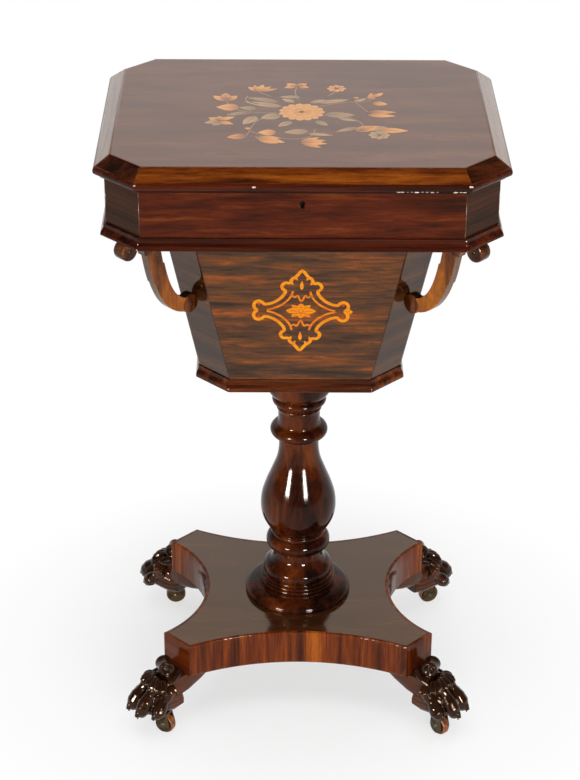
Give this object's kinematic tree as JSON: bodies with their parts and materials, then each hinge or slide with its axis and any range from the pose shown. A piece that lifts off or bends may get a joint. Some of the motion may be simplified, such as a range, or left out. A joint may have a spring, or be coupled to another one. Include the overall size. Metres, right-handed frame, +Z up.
{
  "type": "work table",
  "caption": "Work table with a bevelled hinged lid over a shallow box and tapered well, on a turned column, hollow-sided platform, carved paw feet and castors.",
  "frame": {"origin": "on the floor under the column's axis, at the centre of the overall box", "axes": "+X to the table's right as seen from the front, +Y to the back, +Z up; the front faces -Y"},
  "size_m": [0.4444, 0.3612, 0.745],
  "materials": {
    "rosewood": "French-polished rosewood veneer, high gloss",
    "carved_wood": "carved hardwood, dark stain, polished",
    "lining": "plain pale wood, waxed",
    "brass": "tarnished brass",
    "iron": "dark iron",
    "wheel_wood": "worn brown turned wood"
  },
  "bodies": {
    "stand": {"box_back": "rosewood", "box_bottom": "lining", "box_cant_bl": "rosewood", "box_cant_br": "rosewood", "box_cant_fl": "rosewood", "box_cant_fr": "rosewood", "box_front": "rosewood", "box_left": "rosewood", "box_moulding": "rosewood", "box_right": "rosewood", "bracket_bl": "rosewood", "bracket_br": "rosewood", "bracket_fl": "rosewood", "bracket_fr": "rosewood", "column": "rosewood", "foot_bl": "carved_wood", "foot_br": "carved_wood", "foot_fl": "carved_wood", "foot_fr": "carved_wood", "hinge_left_box_leaf": "brass", "hinge_left_pin": "iron", "hinge_right_box_leaf": "brass", "hinge_right_pin": "iron", "keyhole_liner": "brass", "lock_case": "brass", "partition_back": "lining", "partition_front": "lining", "partition_left": "lining", "partition_right": "lining", "platform": "rosewood", "well_back": "rosewood", "well_base": "rosewood", "well_cant_bl": "rosewood", "well_cant_br": "rosewood", "well_cant_fl": "rosewood", "well_cant_fr": "rosewood", "well_front": "rosewood", "well_left": "rosewood", "well_right": "rosewood"},
    "lid": {"lid_panel": "rosewood", "lid_bead": "rosewood", "hinge_left_lid_leaf": "brass", "hinge_right_lid_leaf": "brass", "lock_link_plate": "brass"},
    "lock_bolt": {"lock_bolt": "iron"},
    "castor_fl": {"castor_fl_fork": "brass", "castor_fl_axle": "iron"},
    "wheel_fl": {"castor_fl_wheel": "wheel_wood"},
    "castor_fr": {"castor_fr_fork": "brass", "castor_fr_axle": "iron"},
    "wheel_fr": {"castor_fr_wheel": "wheel_wood"},
    "castor_br": {"castor_br_fork": "brass", "castor_br_axle": "iron"},
    "wheel_br": {"castor_br_wheel": "wheel_wood"},
    "castor_bl": {"castor_bl_fork": "brass", "castor_bl_axle": "iron"},
    "wheel_bl": {"castor_bl_wheel": "wheel_wood"}
  },
  "joints": [
    {"name": "lid_hinge", "type": "hinge", "parent": "stand", "child": "lid", "pos_m": [0, 0.172, 0.71965], "axis": [-1, 0, 0], "range_deg": [0, 97]},
    {"name": "lock_bolt_slide", "type": "slide", "parent": "stand", "child": "lock_bolt", "axis": [1, 0, 0], "range_m": [0, 0.0045]},
    {"name": "castor_fl_swivel", "type": "hinge", "parent": "stand", "child": "castor_fl", "pos_m": [-0.16661, -0.13761, 0.0297], "axis": [0, 0, 1], "continuous": true},
    {"name": "wheel_fl_roll", "type": "hinge", "parent": "castor_fl", "child": "wheel_fl", "pos_m": [-0.15968, -0.14161, 0.0125], "axis": [0.5, 0.866, 0], "continuous": true},
    {"name": "castor_fr_swivel", "type": "hinge", "parent": "stand", "child": "castor_fr", "pos_m": [0.16661, -0.13761, 0.0297], "axis": [0, 0, 1], "continuous": true},
    {"name": "wheel_fr_roll", "type": "hinge", "parent": "castor_fr", "child": "wheel_fr", "pos_m": [0.17154, -0.14392, 0.0125], "axis": [0.788, 0.6157, 0], "continuous": true},
    {"name": "castor_br_swivel", "type": "hinge", "parent": "stand", "child": "castor_br", "pos_m": [0.16661, 0.13761, 0.0297], "axis": [0, 0, 1], "continuous": true},
    {"name": "wheel_br_roll", "type": "hinge", "parent": "castor_br", "child": "wheel_br", "pos_m": [0.17413, 0.14035, 0.0125], "axis": [-0.342, 0.9397, 0], "continuous": true},
    {"name": "castor_bl_swivel", "type": "hinge", "parent": "stand", "child": "castor_bl", "pos_m": [-0.16661, 0.13761, 0.0297], "axis": [0, 0, 1], "continuous": true},
    {"name": "wheel_bl_roll", "type": "hinge", "parent": "castor_bl", "child": "wheel_bl", "pos_m": [-0.15863, 0.13817, 0.0125], "axis": [-0.0698, 0.9976, 0], "continuous": true}
  ]
}
